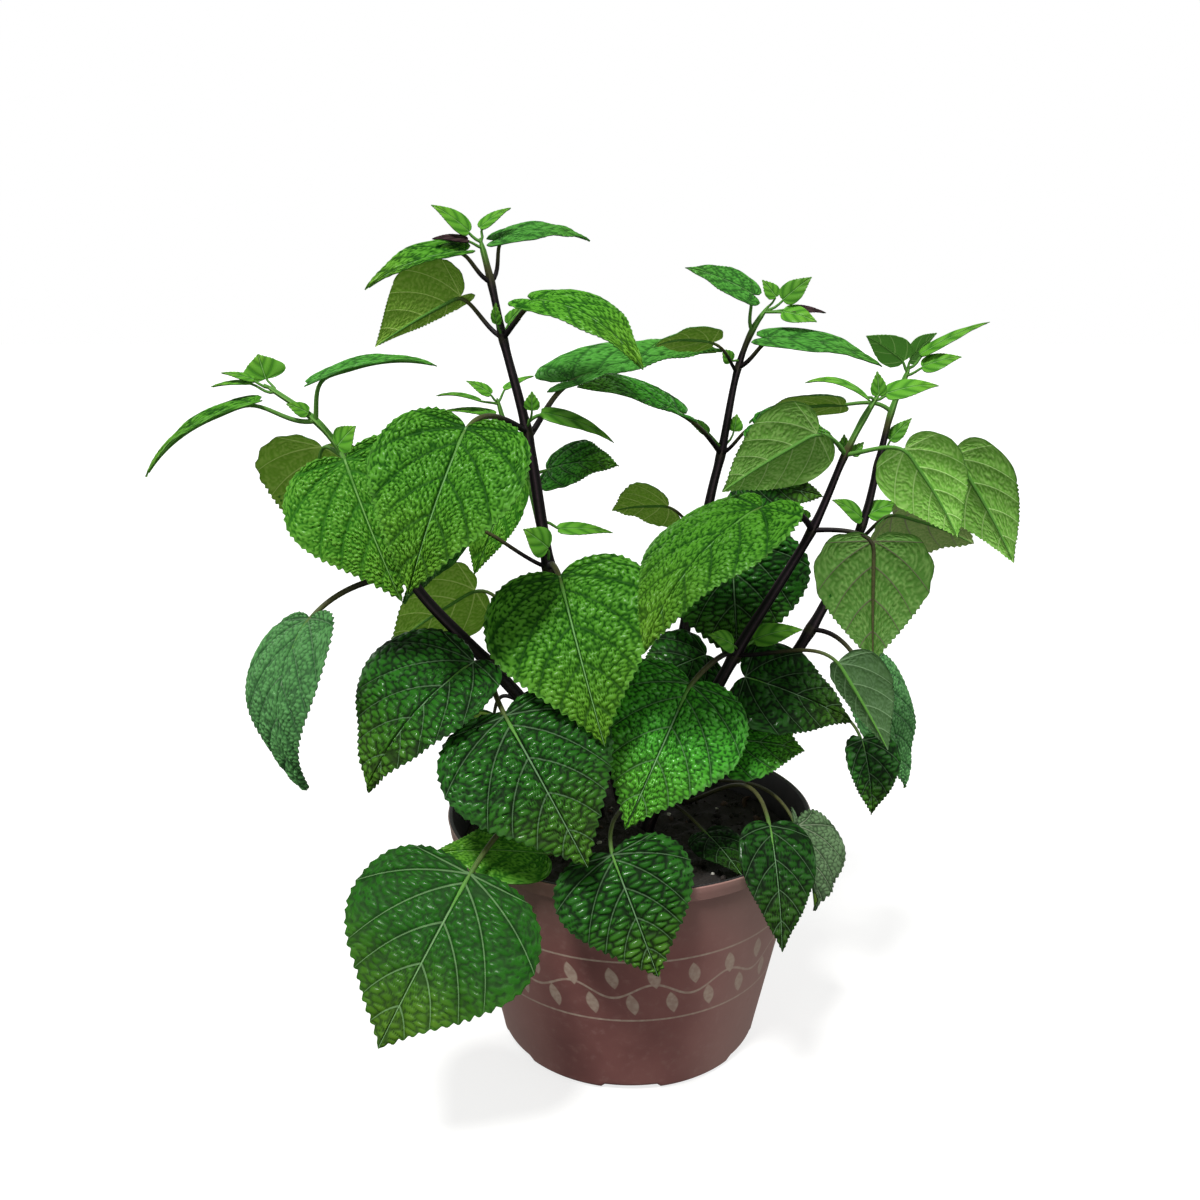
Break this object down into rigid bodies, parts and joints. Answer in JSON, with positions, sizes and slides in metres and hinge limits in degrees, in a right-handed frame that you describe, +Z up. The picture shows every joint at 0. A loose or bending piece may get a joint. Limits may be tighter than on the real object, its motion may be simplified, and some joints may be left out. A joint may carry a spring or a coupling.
{
  "type": "potted salvia",
  "caption": "Young bushy salvia with toothed heart-shaped leaves on dark square stems, standing in a round tapered nursery pot.",
  "frame": {"origin": "middle of the pot's flat underside", "axes": "+Z up the pot's axis, -Y the front seen in the picture, +X to the right of that view"},
  "size_m": [0.4267, 0.2712, 0.4376],
  "materials": {
    "pot_plastic": "reddish brown thin plastic with a soft sheen, black inside",
    "soil": "dark crumbly moist potting soil",
    "stem": "dark purple-black square stems, green near their tips",
    "leaf": "quilted green, soft sheen, paler underneath"
  },
  "bodies": {
    "root": {"pot": "pot_plastic", "soil": "soil", "stem_tall": "stem", "stem_left": "stem", "stem_middle": "stem", "stem_right": "stem", "stem_far": "stem", "stem_hidden": "stem", "leaf_tall_front": "leaf", "leaf_tall_left_large": "leaf", "leaf_tall_right_spread": "leaf", "leaf_tall_upper_left": "leaf", "leaf_tall_upper_right": "leaf", "leaf_tall_top_left": "leaf", "leaf_tall_top_right": "leaf", "leaf_tall_low_left": "leaf", "leaf_tall_back_left": "leaf", "leaf_left_front": "leaf", "leaf_left_back": "leaf", "leaf_left_outer": "leaf", "leaf_left_inner": "leaf", "leaf_left_hanging": "leaf", "leaf_left_low_dark": "leaf", "leaf_left_low_front": "leaf", "leaf_low_left_large": "leaf", "leaf_low_left_under": "leaf", "leaf_low_front": "leaf", "leaf_right_low_front": "leaf", "leaf_right_bright": "leaf", "leaf_middle_dark": "leaf", "leaf_middle_low": "leaf", "leaf_middle_left": "leaf", "leaf_middle_right": "leaf", "leaf_middle_upper_left": "leaf", "leaf_middle_upper_right": "leaf", "leaf_middle_top_left": "leaf", "leaf_middle_behind": "leaf", "leaf_hidden_right": "leaf", "leaf_hidden_left": "leaf", "leaf_hidden_olive": "leaf", "leaf_right_hanging": "leaf", "leaf_right_upper_left": "leaf", "leaf_right_upper_right": "leaf", "leaf_far_outer": "leaf", "leaf_far_right": "leaf", "leaf_far_left": "leaf", "leaf_right_folded": "leaf", "leaf_far_drooping": "leaf", "leaf_far_low_hanging": "leaf", "leaf_right_low_spread": "leaf", "leaf_right_low_under": "leaf", "leaf_pot_right": "leaf", "leaf_pot_far_right": "leaf", "leaf_back_low_left": "leaf", "leaf_back_low": "leaf", "leaf_back_low_right": "leaf", "leaf_back_middle": "leaf", "leaf_pot_inner": "leaf"}
  },
  "joints": []
}
